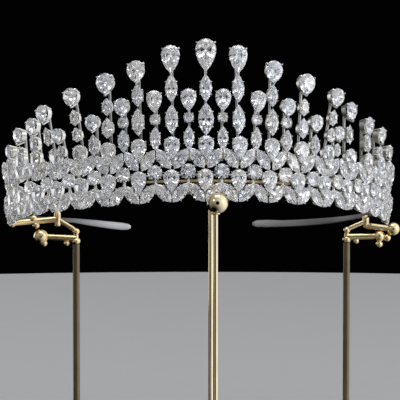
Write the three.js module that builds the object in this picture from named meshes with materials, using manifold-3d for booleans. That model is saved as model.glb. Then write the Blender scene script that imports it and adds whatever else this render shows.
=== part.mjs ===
// A tiara of pear, marquise and round cut stones, resting on a three-armed display stand.
// Millimetres, +Z up, front towards -Y. The origin is the middle of the underside of the stand.

import * as THREE from "three";
import { ConvexGeometry } from "three/addons/geometries/ConvexGeometry.js";
import { mergeVertices } from "three/addons/utils/BufferGeometryUtils.js";
import Module from "manifold-3d";

const wasm = await Module();
wasm.setup();

const degrees = THREE.MathUtils.degToRad;

// Ring of the tiara: units of stones stand side by side on a flared wall around an open head space.
const RING_CENTRE = new THREE.Vector3(-6, 0, 92);
const RING_TILT = degrees(11.5); // front raised
const RING_RADIUS = 78; // to the girdles of the stones, at the height of the rail
const UNIT_ANGLE = degrees(9.19);
const LAST_UNIT = 9;
const FLARE = degrees(4);
const GAP = 0.3; // between neighbouring pieces

// Cut stones: the table as a share of the outline, crown and pavilion as shares of the width.
const TABLE_SHARE = 0.56;
const CROWN_SHARE = 0.17;
const PAVILION_SHARE = 0.42;

// Gallery wires behind the rows, measured outwards from the girdles of the stones.
const GALLERY_FRONT = -1.6;
const GALLERY_BACK = -2.4;
const GALLERY_CULET = -2;
const GALLERY_TALL = 2;
const UPRIGHT_WIDTH = 1.4;

// Rail behind the front of the lower row.
const RAIL_RADIUS = 0.6;
const RAIL_RING_RADIUS = RING_RADIUS + GALLERY_BACK - GAP - RAIL_RADIUS;
const RAIL_HEIGHT = 0.8;
const RAIL_ENDS = [degrees(-19), degrees(25.5)]; // from the front, to the right positive
const RAIL_SIDES = 6;
const RAIL_STEPS = 9;

// Stems of the spikes, behind the gallery wires.
const STEM_WIDTH = 1.4;
const STEM_FRONT = GALLERY_BACK - GAP;
const STEM_THICKNESS = 0.9;
const STEM_BACK = STEM_FRONT - STEM_THICKNESS;
const STEM_CULET = STEM_FRONT - 0.4; // where the points of the spikes' stones are sunk into the stem
const STEM_FOOT = 8;

// Drops and their claws.
const DROP_ROUND_STEPS = 5;
const DROP_SIDE_STEPS = 2;
const CLAW_WIDTH = 0.8;
const CLAW_OFFSET = GAP + 0.6; // from the outline to the middle of a claw
const CLAW_FOOT_SHARE = 0.3;
const CLAW_RISE = 0.5; // beyond the girdle
const SHOULDER_CLAWS = [1, 4]; // corners of a drop's outline
const POINT_CLAWS = [7, 9];
const POINT_CLAW_LENGTH = 8; // drops at least this long have claws beside their point too

// Everything above the lower row stands a little to the right, in units.
const UPPER_SHIFT = 0.03;

// Tulips: a pear over two marquises in a V. Heights are above the rail, along the flared wall.
// Shifts are pairs of a unit and its shift, also in units. The lower row is drawn in on the right.
const TULIP_PEAR = { width: 6.1, length: 8.4 };
const TULIP_MARQUISE = { width: 4.4, length: 9.1 };
const LOWER_ROW = {
  pearTop: 4.8,
  pearCulet: 2.8,
  armFoot: [0.25, -7.4],
  armLean: degrees(40),
  wires: [-4, 2.8],
  upright: [-4, 2.8],
  uprightEvery: 9,
  round: { diameter: 5.7, height: 3.9, culet: 2.8 },
  shifts: [[-LAST_UNIT, 0], [1, 0], [3.5, -0.1], [5, -0.1], [7, -0.2], [LAST_UNIT, -0.22]],
};
const UPPER_ROW = {
  pearTop: 17.2,
  pearCulet: 12,
  armFoot: [0.6, 5.1],
  armLean: degrees(35),
  wires: [9.1],
  upright: [9.1, 13.2],
  uprightEvery: 1,
  round: null,
  shifts: [[-LAST_UNIT, UPPER_SHIFT], [LAST_UNIT, UPPER_SHIFT]],
};
const ROUND_SIDES = 8;

// Tall spikes, from the middle outwards. The drops are pears.
// Lean is the sideways bend about the foot of the stem in degrees, outwards positive.
// Shift moves the foot along the wall in units, outwards positive.
const NEITHER_SIDE = { left: 0, right: 0 };
const TALL_SPIKES = [
  { drop: { width: 7.8, length: 12.4, top: 53.4 }, lean: NEITHER_SIDE,
    marquises: [{ width: 6, length: 11.6, middle: 23.3 }, { width: 4.8, length: 9.9, middle: 35 }] },
  { drop: { width: 7.1, length: 10.6, top: 51.2 }, lean: { left: 0, right: -1.5 },
    marquises: [{ width: 5, length: 10.8, middle: 23.4 }, { width: 4.8, length: 10.2, middle: 35.1 }] },
  { drop: { width: 7, length: 8.5, top: 46.1 }, lean: { left: 0.5, right: 0 },
    marquises: [{ width: 5.1, length: 10.2, middle: 22.9 }, { width: 4.5, length: 8.2, middle: 33 }] },
  { drop: { width: 7, length: 8.1, top: 42.4 }, lean: { left: 0, right: 2 },
    marquises: [{ width: 4.6, length: 7.8, middle: 21.6 }, { width: 4.2, length: 6.6, middle: 29.6 }] },
  { drop: { width: 6.4, length: 7.2, top: 38.8 }, lean: { left: 6.5, right: 7 },
    marquises: [{ width: 4, length: 5.6, middle: 20.5 }, { width: 4, length: 6.2, middle: 27.2 }] },
  { drop: { width: 6.3, length: 7.2, top: 34.5 }, lean: { left: 9.2, right: -2.7 },
    shift: { left: 0.2, right: 0 }, marquises: [{ width: 4, length: 7.4, middle: 21.9 }] },
  { drop: { width: 6.2, length: 7.1, top: 30.5 }, lean: { left: 4, right: -3.8 },
    marquises: [{ width: 4.6, length: 5.4, middle: 20.3 }] },
  { drop: { width: 6, length: 6.6, top: 28.6 }, lean: { left: 2, right: -5 },
    marquises: [{ width: 4, length: 4.2, middle: 19.6 }] },
  { drop: { width: 5.6, length: 6, top: 23.8 }, lean: { left: -1, right: -4 }, marquises: [] },
];

// Short spikes, standing half a unit between the tall ones.
const SHORT_SPIKES = [
  { pear: { width: 6.1, length: 8.4, top: 34.8 }, round: { diameter: 4, middle: 24.1 },
    marquise: { width: 4.2, length: 8.7, middle: 16.4 }, lean: NEITHER_SIDE },
  { pear: { width: 6.1, length: 8.4, top: 34.5 }, round: { diameter: 4.2, middle: 23.6 },
    marquise: { width: 4.2, length: 8.7, middle: 16.4 }, lean: { left: 0, right: 1.5 } },
  { pear: { width: 6, length: 6.9, top: 32.4 }, round: { diameter: 4.2, middle: 23.2 },
    marquise: { width: 4.3, length: 8.5, middle: 16.2 }, lean: NEITHER_SIDE },
  { pear: { width: 5.8, length: 6.5, top: 27.3 }, round: null,
    marquise: { width: 4.3, length: 8.1, middle: 15.7 }, lean: NEITHER_SIDE },
  { pear: { width: 5.4, length: 5.9, top: 24.3 }, round: null,
    marquise: { width: 3.6, length: 5.4, middle: 15.1 }, lean: { left: 11, right: 2 },
    shift: { left: 0.12, right: -0.1 } },
];

// Straps from the ends of the garlands round the back. The two are bent a little differently.
// Stations are the angle from the front, the height above the foot of the ring, and the breadth.
const STRAP_THICKNESS = 1;
const STRAP_RADIUS = 74.6;
const STRAPS = [
  { name: "left", side: -1, stations: [
    [87.6, 0, 2.4], [97, 0, 2.3], [106, 0.3, 2.2], [116, 1.6, 2], [126, 2.9, 1.9], [135, 3.65, 2],
    [144.5, 3.5, 2.95], [151, 3.2, 3.3], [154.5, 3.05, 3.35], [157, 3, 2.7], [158, 3, 1.2],
  ] },
  { name: "right", side: 1, stations: [
    [87.6, 0, 2.4], [97, 0.3, 2.4], [106, 1.3, 2.3], [116, 1.9, 2.4], [126.4, 2.35, 2.8], [134, 2.8, 2.95],
    [141, 3.1, 3], [147.8, 3.5, 3.05], [154, 4.05, 3.45], [158, 4.3, 3.1], [159.2, 4.4, 1.4],
  ] },
];

// Stand
const BASE_THICKNESS = 5;
const BASE_HUB_RADIUS = 20;
const BASE_HUB_SIDES = 20;
const BASE_ARM_WIDTH = 10;
const BASE_PAD_RADIUS = 7;
const BASE_PAD_SIDES = 12;
const ROD_RADIUS = 0.9;
const ROD_SIDES = 10;
const FRONT_ROD = new THREE.Vector2(-2.5, -84.4);
const REAR_ROD = new THREE.Vector2(-3.7, -71);
const REAR_ROD_TOP = RING_CENTRE.z + 16.5;
const FRONT_BALL_RADIUS = 4;
const FRONT_BALL = new THREE.Vector3(-1.8, FRONT_ROD.y, RING_CENTRE.z + 8);
const FRONT_COLLAR = { radius: 1.8, height: 0.8 };
const YOKE_HEIGHT = RING_CENTRE.z + 6.5;
const POST_RADIUS = 1.4;
const POST_TOP = RING_CENTRE.z - 14;
const BRACKET = {
  sleeveRadius: 1.75,
  sleeveTop: RING_CENTRE.z - 11.4,
  elbow: { height: RING_CENTRE.z - 8.4, ballRadius: 1.45 },
  stopRadius: 1.35,
  pegRadius: 1.35,
  bar: { height: RING_CENTRE.z - 11.6, radius: 1.4 },
};
// The stand is turned a little, so its right bracket is further back.
// Pairs are the place along x and the height above the floor; studs also have a radius.
const BRACKET_SIDES = [
  { name: "left", post: new THREE.Vector2(-56.4, 9), stop: { x: -64.1, low: 85.4, high: 91.6, strut: 88.4 },
    peg: { start: 88.4, tip: [-83, 86.8], tipRadius: 1.9 }, barBall: { place: [-71, 81.2], radius: 2.9 },
    studs: [[-74.1, 88.6, 1.6], [-73, 85.8, 1.5], [-69.7, 78.4, 1.4], [-60.3, 78.4, 1.2]] },
  { name: "right", post: new THREE.Vector2(56.6, 14), stop: { x: 64.6, low: 84.2, high: 89.5, strut: 87 },
    peg: { start: 85.1, tip: [76.1, 83.7], tipRadius: 2.8 }, barBall: { place: [70.3, 80.7], radius: 2.4 },
    studs: [[73.6, 80, 1.6], [70.3, 77.4, 1.5], [60.6, 78.7, 1.2]] },
];
const BALL_SIDES = 12;
const BALL_RINGS = 7;
const SMALL_BALL_SIDES = 9;
const SMALL_BALL_RINGS = 5;
const STUD_SIDES = 6;
const STUD_RINGS = 4;

const finish = (color, roughness, metalness) =>
  () => new THREE.MeshStandardMaterial({ color, roughness, metalness });
const crystalFinish = finish(0xdfe2e8, 0.05, 0);
const goldFinish = finish(0xd9b968, 0.12, 1);
const satinFinish = finish(0x9a9a9c, 0.4, 1);

// Closed solid of a geometry, and back.
function toSolid(geometry) {
  const bare = geometry.clone();
  bare.deleteAttribute("normal");
  bare.deleteAttribute("uv");
  const merged = mergeVertices(bare);
  return new wasm.Manifold(
    new wasm.Mesh({
      numProp: 3,
      vertProperties: new Float32Array(merged.attributes.position.array),
      triVerts: new Uint32Array(merged.index.array),
    }),
  );
}

function toGeometry(solid) {
  const mesh = solid.getMesh();
  const geometry = new THREE.BufferGeometry();
  geometry.setAttribute("position", new THREE.BufferAttribute(mesh.vertProperties, 3));
  geometry.setIndex(new THREE.BufferAttribute(mesh.triVerts, 1));
  return geometry;
}

function fuse(geometries) {
  return toGeometry(geometries.map(toSolid).reduce((whole, piece) => whole.add(piece)));
}

// Closed solid through a stack of outlines with equal numbers of points.
// The outlines run anticlockwise, seen from the last one.
function loft(rings) {
  const count = rings[0].length;
  const last = (rings.length - 1) * count;
  const index = [];
  for (let base = 0; base < last; base += count) {
    for (let i = 0; i < count; i += 1) {
      const here = base + i;
      const next = base + ((i + 1) % count);
      index.push(here, next, next + count, here, next + count, here + count);
    }
  }
  for (let i = 1; i + 1 < count; i += 1) {
    index.push(0, i + 1, i, last, last + i, last + i + 1);
  }
  return new THREE.BufferGeometry().setFromPoints(rings.flat()).setIndex(index);
}

// Outlines of cut stones, anticlockwise. A pear is centred on its widest line, with its point down.
function roundOutline(diameter) {
  return new THREE.EllipseCurve(0, 0, diameter / 2, diameter / 2).getPoints(ROUND_SIDES).slice(0, -1);
}

// Half width of a pointed arc at a distance from its widest line.
function arcHalfWidth(width, reach, distance) {
  const arcRadius = (width * width / 4 + reach * reach) / width;
  return Math.sqrt(arcRadius * arcRadius - distance * distance) - arcRadius + width / 2;
}

function marquiseOutline({ width, length }, sideSteps = 3) {
  const reach = length / 2;
  const side = [];
  for (let i = 1; i <= sideSteps; i += 1) {
    const y = reach * ((2 * i) / (sideSteps + 1) - 1);
    side.push(new THREE.Vector2(arcHalfWidth(width, reach, y), y));
  }
  const otherSide = side.map((point) => point.clone().negate());
  return [new THREE.Vector2(0, -reach), ...side, new THREE.Vector2(0, reach), ...otherSide];
}

function pearOutline({ width, length }, roundSteps = 4, sideSteps = 1) {
  const radius = width / 2;
  const reach = length - radius;
  const top = [];
  for (let i = 0; i <= roundSteps; i += 1) {
    const angle = (Math.PI * i) / roundSteps;
    top.push(new THREE.Vector2(radius * Math.cos(angle), radius * Math.sin(angle)));
  }
  const leftSide = [];
  for (let i = 1; i <= sideSteps; i += 1) {
    const y = (reach * i) / (sideSteps + 1);
    leftSide.push(new THREE.Vector2(-arcHalfWidth(width, reach, y), -y));
  }
  const rightSide = leftSide.map((point) => new THREE.Vector2(-point.x, point.y)).reverse();
  return [...top, ...leftSide, new THREE.Vector2(0, -reach), ...rightSide];
}

// An outline scaled, turned and moved into the wall's frame: x along the wall, y up it, z outwards.
function placed(outline, share, turn, x, y, z) {
  return outline.map((point) => {
    const moved = point.clone().multiplyScalar(share).rotateAround(new THREE.Vector2(), turn);
    return new THREE.Vector3(moved.x + x, moved.y + y, z);
  });
}

// Cut stone: a table, crown facets down to the girdle, and pavilion facets that meet in the culet.
function cutStone(outline, width, { x = 0, y, turn = 0, girdle = 0, culetY = y, culetZ }) {
  return new ConvexGeometry([
    ...placed(outline, TABLE_SHARE, turn, x, y, girdle + width * CROWN_SHARE),
    ...placed(outline, 1, turn, x, y, girdle),
    new THREE.Vector3(x, culetY, culetZ),
  ]);
}

// Square bar between two points.
function strut(from, to, width) {
  const geometry = new THREE.BoxGeometry(width, width, from.distanceTo(to));
  const pose = new THREE.Matrix4().lookAt(from, to, new THREE.Vector3(1, 0, 0));
  pose.setPosition(from.clone().add(to).multiplyScalar(0.5));
  return geometry.applyMatrix4(pose);
}

function box(low, high) {
  const size = high.clone().sub(low);
  const middle = low.clone().add(high).multiplyScalar(0.5);
  return new THREE.BoxGeometry(size.x, size.y, size.z).translate(middle.x, middle.y, middle.z);
}

// Pose of the wall's frame at a unit counted from the front, in the frame of the ring.
function wallPose(unit) {
  return new THREE.Matrix4()
    .makeRotationZ(unit * UNIT_ANGLE)
    .multiply(new THREE.Matrix4().makeTranslation(0, -RING_RADIUS, 0))
    .multiply(new THREE.Matrix4().makeRotationX(Math.PI / 2 + FLARE));
}

// Pose of a spike on one side of the front, which bends sideways about its foot.
function spikePose(rank, side, key, { lean, shift = NEITHER_SIDE }) {
  return wallPose(side * (rank + shift[key]) + UPPER_SHIFT)
    .multiply(new THREE.Matrix4().makeTranslation(0, STEM_FOOT, 0))
    .multiply(new THREE.Matrix4().makeRotationZ(-side * degrees(lean[key])))
    .multiply(new THREE.Matrix4().makeTranslation(0, -STEM_FOOT, 0));
}

// Flat wire that follows the wall at one height, with its corners between the units.
function galleryWire(height) {
  const low = height - GALLERY_TALL / 2;
  const high = height + GALLERY_TALL / 2;
  const rings = [];
  for (let unit = -LAST_UNIT - 0.5; unit <= LAST_UNIT + 0.5; unit += 1) {
    const section = [
      new THREE.Vector3(0, low, GALLERY_BACK),
      new THREE.Vector3(0, high, GALLERY_BACK),
      new THREE.Vector3(0, high, GALLERY_FRONT),
      new THREE.Vector3(0, low, GALLERY_FRONT),
    ];
    rings.push(section.map((point) => point.applyMatrix4(wallPose(unit))));
  }
  return loft(rings);
}

// One tulip: the pear over its two arms, each with its culet on the wires behind.
function tulip({ pearTop, pearCulet, armFoot, armLean }) {
  const pearMiddle = pearTop - TULIP_PEAR.width / 2;
  const reach = TULIP_MARQUISE.length / 2;
  const armX = armFoot[0] + reach * Math.sin(armLean);
  const armY = armFoot[1] + reach * Math.cos(armLean);
  const pearPlace = { y: pearMiddle, culetY: pearCulet, culetZ: GALLERY_CULET };
  const arms = [-1, 1].map((side) => {
    const place = { x: side * armX, y: armY, turn: -side * armLean, culetZ: GALLERY_CULET };
    return cutStone(marquiseOutline(TULIP_MARQUISE), TULIP_MARQUISE.width, place);
  });
  return [cutStone(pearOutline(TULIP_PEAR), TULIP_PEAR.width, pearPlace), ...arms];
}

function upright([low, high]) {
  return box(
    new THREE.Vector3(-UPRIGHT_WIDTH / 2, low, GALLERY_BACK),
    new THREE.Vector3(UPRIGHT_WIDTH / 2, high, GALLERY_FRONT),
  );
}

function shifted(unit, shifts) {
  const next = Math.max(1, shifts.findIndex(([place]) => place >= unit));
  const [[low, lowShift], [high, highShift]] = [shifts[next - 1], shifts[next]];
  return unit + THREE.MathUtils.mapLinear(unit, low, high, lowShift, highShift);
}

// A row of tulips on its gallery wires, with round stones between the tulips where the row has them.
function garland(row) {
  const pieces = row.wires.map(galleryWire);
  for (let unit = -LAST_UNIT; unit <= LAST_UNIT; unit += 1) {
    const stones = tulip(row);
    if (unit % row.uprightEvery === 0) {
      stones.push(upright(row.upright));
    }
    const pose = wallPose(shifted(unit, row.shifts));
    pieces.push(...stones.map((stone) => stone.applyMatrix4(pose)));
    if (row.round && unit < LAST_UNIT) {
      const { diameter, height, culet } = row.round;
      const place = { y: height, culetY: culet, culetZ: GALLERY_CULET };
      const stone = cutStone(roundOutline(diameter), diameter, place);
      pieces.push(stone.applyMatrix4(wallPose(unit + 0.5)));
    }
  }
  return fuse(pieces);
}

// Height of the girdle of a spike's stone, which stands on its stem.
function spikeGirdle(width) {
  return STEM_FRONT + GAP + width * PAVILION_SHARE;
}

function spikeStone(outline, width, middle) {
  return cutStone(outline, width, { y: middle, girdle: spikeGirdle(width), culetZ: STEM_CULET });
}

// Drop stone of a tall spike, standing clear of its claws, with its point over the stem.
function dropPlace({ width, top }) {
  return { y: top - width / 2, girdle: spikeGirdle(width) };
}

function dropOutline(drop) {
  return pearOutline(drop, DROP_ROUND_STEPS, DROP_SIDE_STEPS);
}

function dropStone(drop) {
  const outline = dropOutline(drop);
  const { y, girdle } = dropPlace(drop);
  return cutStone(outline, drop.width, { y, girdle, culetZ: girdle - drop.width * PAVILION_SHARE });
}

// Claws of a drop, at its shoulders and beside the point of a long one.
// They rise from a pear-shaped seat on the stem.
function dropClaws(drop) {
  const outline = dropOutline(drop);
  const { y, girdle } = dropPlace(drop);
  const seatShare = CLAW_FOOT_SHARE + CLAW_WIDTH / drop.width;
  const seatOutline = pearOutline(drop);
  const seat = loft([STEM_BACK, STEM_FRONT].map((z) => placed(seatOutline, seatShare, 0, 0, y, z)));
  const corners = drop.length < POINT_CLAW_LENGTH ? SHOULDER_CLAWS : [...SHOULDER_CLAWS, ...POINT_CLAWS];
  const claws = corners.map((corner) => {
    const point = outline[corner];
    const along = outline[corner + 1].clone().sub(outline[corner - 1]);
    const outwards = new THREE.Vector2(along.y, -along.x).setLength(CLAW_OFFSET);
    const seated = point.clone().multiplyScalar(CLAW_FOOT_SHARE);
    const beside = point.clone().add(outwards);
    const foot = new THREE.Vector3(seated.x, y + seated.y, STEM_BACK + CLAW_WIDTH / 2);
    const girdleSide = new THREE.Vector3(beside.x, y + beside.y, girdle);
    const rise = girdleSide.clone().sub(foot).setLength(CLAW_RISE);
    return strut(foot, girdleSide.add(rise), CLAW_WIDTH);
  });
  return [seat, ...claws];
}

function stem(top) {
  return box(
    new THREE.Vector3(-STEM_WIDTH / 2, STEM_FOOT, STEM_BACK),
    new THREE.Vector3(STEM_WIDTH / 2, top, STEM_FRONT),
  );
}

function tallSpike({ drop, marquises }) {
  const pieces = [stem(dropPlace(drop).y), ...dropClaws(drop)];
  for (const { width, length, middle } of marquises) {
    pieces.push(spikeStone(marquiseOutline({ width, length }), width, middle));
  }
  return fuse(pieces);
}

function shortSpike({ pear, round, marquise }) {
  const pearMiddle = pear.top - pear.width / 2;
  const pieces = [
    stem(pearMiddle + STEM_WIDTH),
    spikeStone(pearOutline(pear), pear.width, pearMiddle),
    spikeStone(marquiseOutline(marquise), marquise.width, marquise.middle),
  ];
  if (round) {
    pieces.push(spikeStone(roundOutline(round.diameter), round.diameter, round.middle));
  }
  return fuse(pieces);
}

// Arc of a circle around the ring's axis, from one angle to another, measured from the front.
class RingArc extends THREE.Curve {
  constructor(radius, height, start, end) {
    super();
    this.radius = radius;
    this.height = height;
    this.start = start;
    this.end = end;
  }

  getPoint(t) {
    const angle = this.start + t * (this.end - this.start);
    return new THREE.Vector3(this.radius * Math.sin(angle), -this.radius * Math.cos(angle), this.height);
  }
}

function baseRail() {
  const section = new THREE.Shape(
    new THREE.EllipseCurve(0, 0, RAIL_RADIUS, RAIL_RADIUS).getPoints(RAIL_SIDES).slice(0, -1),
  );
  return new THREE.ExtrudeGeometry(section, {
    extrudePath: new RingArc(RAIL_RING_RADIUS, RAIL_HEIGHT, ...RAIL_ENDS),
    steps: RAIL_STEPS,
    bevelEnabled: false,
  });
}

function backStrap({ side, stations }) {
  const rings = stations.map(([angle, height, breadth]) => {
    const direction = new THREE.Vector3(side * Math.sin(degrees(angle)), -Math.cos(degrees(angle)), 0);
    const inner = direction.clone().multiplyScalar(STRAP_RADIUS - STRAP_THICKNESS / 2);
    const outer = direction.clone().multiplyScalar(STRAP_RADIUS + STRAP_THICKNESS / 2);
    const low = height - breadth / 2;
    const high = height + breadth / 2;
    return [inner.clone().setZ(low), inner.setZ(high), outer.clone().setZ(high), outer.setZ(low)];
  });
  return loft(side > 0 ? rings : rings.reverse());
}

// Round rod between two points, with flat ends.
function rod(from, to, radius, sides = ROD_SIDES) {
  const geometry = new THREE.CylinderGeometry(radius, radius, from.distanceTo(to), sides);
  geometry.rotateX(Math.PI / 2);
  const steep = Math.abs(to.z - from.z) > Math.abs(to.x - from.x);
  const up = steep ? new THREE.Vector3(1, 0, 0) : new THREE.Vector3(0, 0, 1);
  const pose = new THREE.Matrix4().lookAt(to, from, up);
  pose.setPosition(from.clone().add(to).multiplyScalar(0.5));
  return geometry.applyMatrix4(pose);
}

function ball(centre, radius, sides = SMALL_BALL_SIDES, rings = SMALL_BALL_RINGS) {
  const geometry = new THREE.SphereGeometry(radius, sides, rings).rotateX(Math.PI / 2);
  return geometry.translate(centre.x, centre.y, centre.z);
}

function standBase() {
  const disc = (place, radius, sides) => {
    const foot = new THREE.Vector3(place.x, place.y, 0);
    return rod(foot, foot.clone().setZ(BASE_THICKNESS), radius, sides);
  };
  const pieces = [disc(new THREE.Vector2(), BASE_HUB_RADIUS, BASE_HUB_SIDES)];
  const ends = [FRONT_ROD, ...BRACKET_SIDES.map(({ post }) => post)];
  for (const end of ends) {
    const arm = new THREE.BoxGeometry(end.length(), BASE_ARM_WIDTH, BASE_THICKNESS);
    arm.translate(end.length() / 2, 0, BASE_THICKNESS / 2).rotateZ(end.angle());
    pieces.push(arm, disc(end, BASE_PAD_RADIUS, BASE_PAD_SIDES));
  }
  return fuse(pieces);
}

function frontFork() {
  const at = (place, z) => new THREE.Vector3(place.x, place.y, z);
  const collarTop = FRONT_BALL.z - FRONT_BALL_RADIUS + FRONT_COLLAR.height / 2;
  return fuse([
    rod(at(FRONT_ROD, BASE_THICKNESS), at(FRONT_ROD, FRONT_BALL.z), ROD_RADIUS),
    rod(at(FRONT_ROD, collarTop - FRONT_COLLAR.height), at(FRONT_ROD, collarTop), FRONT_COLLAR.radius),
    ball(FRONT_BALL, FRONT_BALL_RADIUS, BALL_SIDES, BALL_RINGS),
    rod(at(FRONT_ROD, YOKE_HEIGHT), at(REAR_ROD, YOKE_HEIGHT), ROD_RADIUS),
    rod(at(REAR_ROD, BASE_THICKNESS), at(REAR_ROD, REAR_ROD_TOP), ROD_RADIUS),
  ]);
}

function rearPost({ post }) {
  const foot = new THREE.Vector3(post.x, post.y, BASE_THICKNESS);
  return rod(foot, foot.clone().setZ(POST_TOP), POST_RADIUS);
}

// Bracket on a post: a strut that turns off to the stop and its peg, and a bar with a ball below them.
function bracket({ post, stop, peg, barBall, studs }) {
  const { sleeveRadius, sleeveTop, elbow, stopRadius, pegRadius, bar } = BRACKET;
  const at = (x, z) => new THREE.Vector3(x, post.y, z);
  const pegStart = at(stop.x, peg.start);
  const turn = at(post.x, elbow.height);
  return fuse([
    rod(at(post.x, POST_TOP), at(post.x, sleeveTop), sleeveRadius),
    rod(at(post.x, sleeveTop - ROD_RADIUS), turn, ROD_RADIUS),
    ball(turn, elbow.ballRadius, STUD_SIDES, STUD_RINGS),
    rod(turn, at(stop.x, stop.strut), ROD_RADIUS),
    rod(at(stop.x, stop.low), at(stop.x, stop.high), stopRadius),
    rod(pegStart, at(...peg.tip), pegRadius),
    ball(at(...peg.tip), peg.tipRadius),
    rod(at(post.x, bar.height), at(...barBall.place), bar.radius),
    ball(at(...barBall.place), barBall.radius),
    ...studs.map(([x, z, radius]) => ball(at(x, z), radius, STUD_SIDES, STUD_RINGS)),
  ]);
}

const object = new THREE.Group();
const tiara = new THREE.Group();
const stand = new THREE.Group();
tiara.position.copy(RING_CENTRE);
tiara.rotation.x = -RING_TILT;
object.add(tiara, stand);

function addPiece(group, name, geometry, makeMaterial, pose = new THREE.Matrix4()) {
  const piece = new THREE.Mesh(geometry, makeMaterial());
  piece.name = name;
  piece.applyMatrix4(pose);
  group.add(piece);
}

addPiece(tiara, "lower_garland", garland(LOWER_ROW), crystalFinish);
addPiece(tiara, "upper_garland", garland(UPPER_ROW), crystalFinish);
addPiece(tiara, "base_rail", baseRail(), goldFinish);

// Names count outwards from the middle on each side.
const SIDES = [{ letter: "l", key: "left", side: -1 }, { letter: "r", key: "right", side: 1 }];

TALL_SPIKES.forEach((row, rank) => {
  const copies = rank === 0 ? [{ letter: "c", key: "left", side: -1 }] : SIDES;
  for (const { letter, key, side } of copies) {
    const label = rank === 0 ? letter : letter + rank;
    const pose = spikePose(rank, side, key, row);
    addPiece(tiara, "tall_spike_" + label, tallSpike(row), crystalFinish, pose);
    addPiece(tiara, "drop_stone_" + label, dropStone(row.drop), crystalFinish, pose);
  }
});

SHORT_SPIKES.forEach((row, rank) => {
  for (const { letter, key, side } of SIDES) {
    const pose = spikePose(rank + 0.5, side, key, row);
    addPiece(tiara, "short_spike_" + letter + (rank + 1), shortSpike(row), crystalFinish, pose);
  }
});

for (const row of STRAPS) {
  addPiece(tiara, "back_strap_" + row.name, backStrap(row), satinFinish);
}

addPiece(stand, "stand_base", standBase(), goldFinish);
addPiece(stand, "front_fork", frontFork(), goldFinish);
for (const row of BRACKET_SIDES) {
  addPiece(stand, row.name + "_post", rearPost(row), goldFinish);
  addPiece(stand, row.name + "_bracket", bracket(row), goldFinish);
}

export default object;
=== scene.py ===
import math

import bpy
import numpy as np
from mathutils import Matrix, Vector


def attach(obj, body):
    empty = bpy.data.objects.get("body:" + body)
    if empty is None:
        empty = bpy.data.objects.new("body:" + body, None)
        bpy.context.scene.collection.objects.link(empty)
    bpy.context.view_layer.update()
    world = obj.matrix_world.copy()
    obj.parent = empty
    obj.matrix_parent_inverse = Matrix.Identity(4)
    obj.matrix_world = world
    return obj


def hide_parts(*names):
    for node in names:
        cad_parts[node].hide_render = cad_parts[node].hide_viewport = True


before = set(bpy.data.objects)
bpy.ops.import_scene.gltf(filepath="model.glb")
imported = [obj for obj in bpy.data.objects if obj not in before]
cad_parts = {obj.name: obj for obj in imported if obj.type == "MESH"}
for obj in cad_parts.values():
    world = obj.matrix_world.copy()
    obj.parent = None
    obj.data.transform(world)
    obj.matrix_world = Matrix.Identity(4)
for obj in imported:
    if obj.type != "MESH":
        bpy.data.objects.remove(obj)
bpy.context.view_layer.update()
print("frame:", len(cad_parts), "nodes")

mm = 0.001
scene = bpy.context.scene
dice = np.random.default_rng(11)  # small, repeatable differences between stones

# The ring that all the stones stand on, in mm and degrees.
ring = {
    "centre": (-6.0, 0.0, 92.0),
    "tilt": 11.5,  # front raised
    "radius": 78.0,
    "unitAngle": 9.19,
    "lastUnit": 9,
    "flare": 4.0,
}


# Turn about one axis: cosine and sine in the two rows and columns of the other axes.
def turned(axis, degrees):
    angle = np.radians(np.asarray(degrees, float))
    a, b = {"x": (1, 2), "y": (2, 0), "z": (0, 1)}[axis]
    pose = np.broadcast_to(np.eye(4), angle.shape + (4, 4)).copy()
    pose[..., a, a] = pose[..., b, b] = np.cos(angle)
    pose[..., a, b] = -np.sin(angle)
    pose[..., b, a] = np.sin(angle)
    return pose


# Move: the three offsets stand in the last column.
def moved(x, y, z):
    place = np.stack(np.broadcast_arrays(*(np.asarray(v, float) for v in (x, y, z))), -1)
    pose = np.broadcast_to(np.eye(4), place.shape[:-1] + (4, 4)).copy()
    pose[..., :3, 3] = place
    return pose


tiaraPose = moved(*ring["centre"]) @ turned("x", -ring["tilt"])
tiaraAxis = tiaraPose[:3, 2]


# Frame of the wall at a unit counted from the front: x along the wall, y up it, z outwards.
# A spike leans sideways about its foot.
def wallPose(units, lean=0.0, foot=0.0):
    around = turned("z", np.asarray(units, float) * ring["unitAngle"])
    upright = moved(0, -ring["radius"], 0) @ turned("x", 90 + ring["flare"])
    bend = moved(0, foot, 0) @ turned("z", lean) @ moved(0, -foot, 0)
    return tiaraPose @ around @ upright @ bend


# Shapes are pairs: corners, and arrays of face corners grouped by face size.
# One shape repeated at many poses: every corner is turned and moved by every pose.
def carried(shape, poses):
    points, faces = shape
    poses = np.asarray(poses).reshape(-1, 4, 4)
    spread = np.einsum("nij,pj->npi", poses[:, :3, :3], points) + poses[:, None, :3, 3]
    offset = np.arange(len(poses))[:, None, None] * len(points)
    return spread.reshape(-1, 3), [(f[None] + offset).reshape(-1, f.shape[1]) for f in faces]


# Shapes made one: the face corners of each are counted on from the shapes before it.
def joined(shapes):
    starts = np.cumsum([0] + [len(points) for points, _ in shapes])
    faces = [f + start for (_, group), start in zip(shapes, starts) for f in group]
    return np.vstack([points for points, _ in shapes]), faces


# Faces of a tube of rings: a quad between neighbours on two rings, and a cap at each end unless the rings
# close up.
def tubeFaces(rings, sides, closed=False):
    level, side = np.meshgrid(np.arange(rings if closed else rings - 1), np.arange(sides), indexing="ij")
    here, after, beside = level * sides, (level + 1) % rings * sides, (side + 1) % sides
    quads = np.stack([here + side, here + beside, after + beside, after + side], -1)
    groups = [quads.reshape(-1, 4)]
    if not closed:
        groups.append(np.stack([np.arange(sides)[::-1], (rings - 1) * sides + np.arange(sides)]))
    return groups


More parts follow.
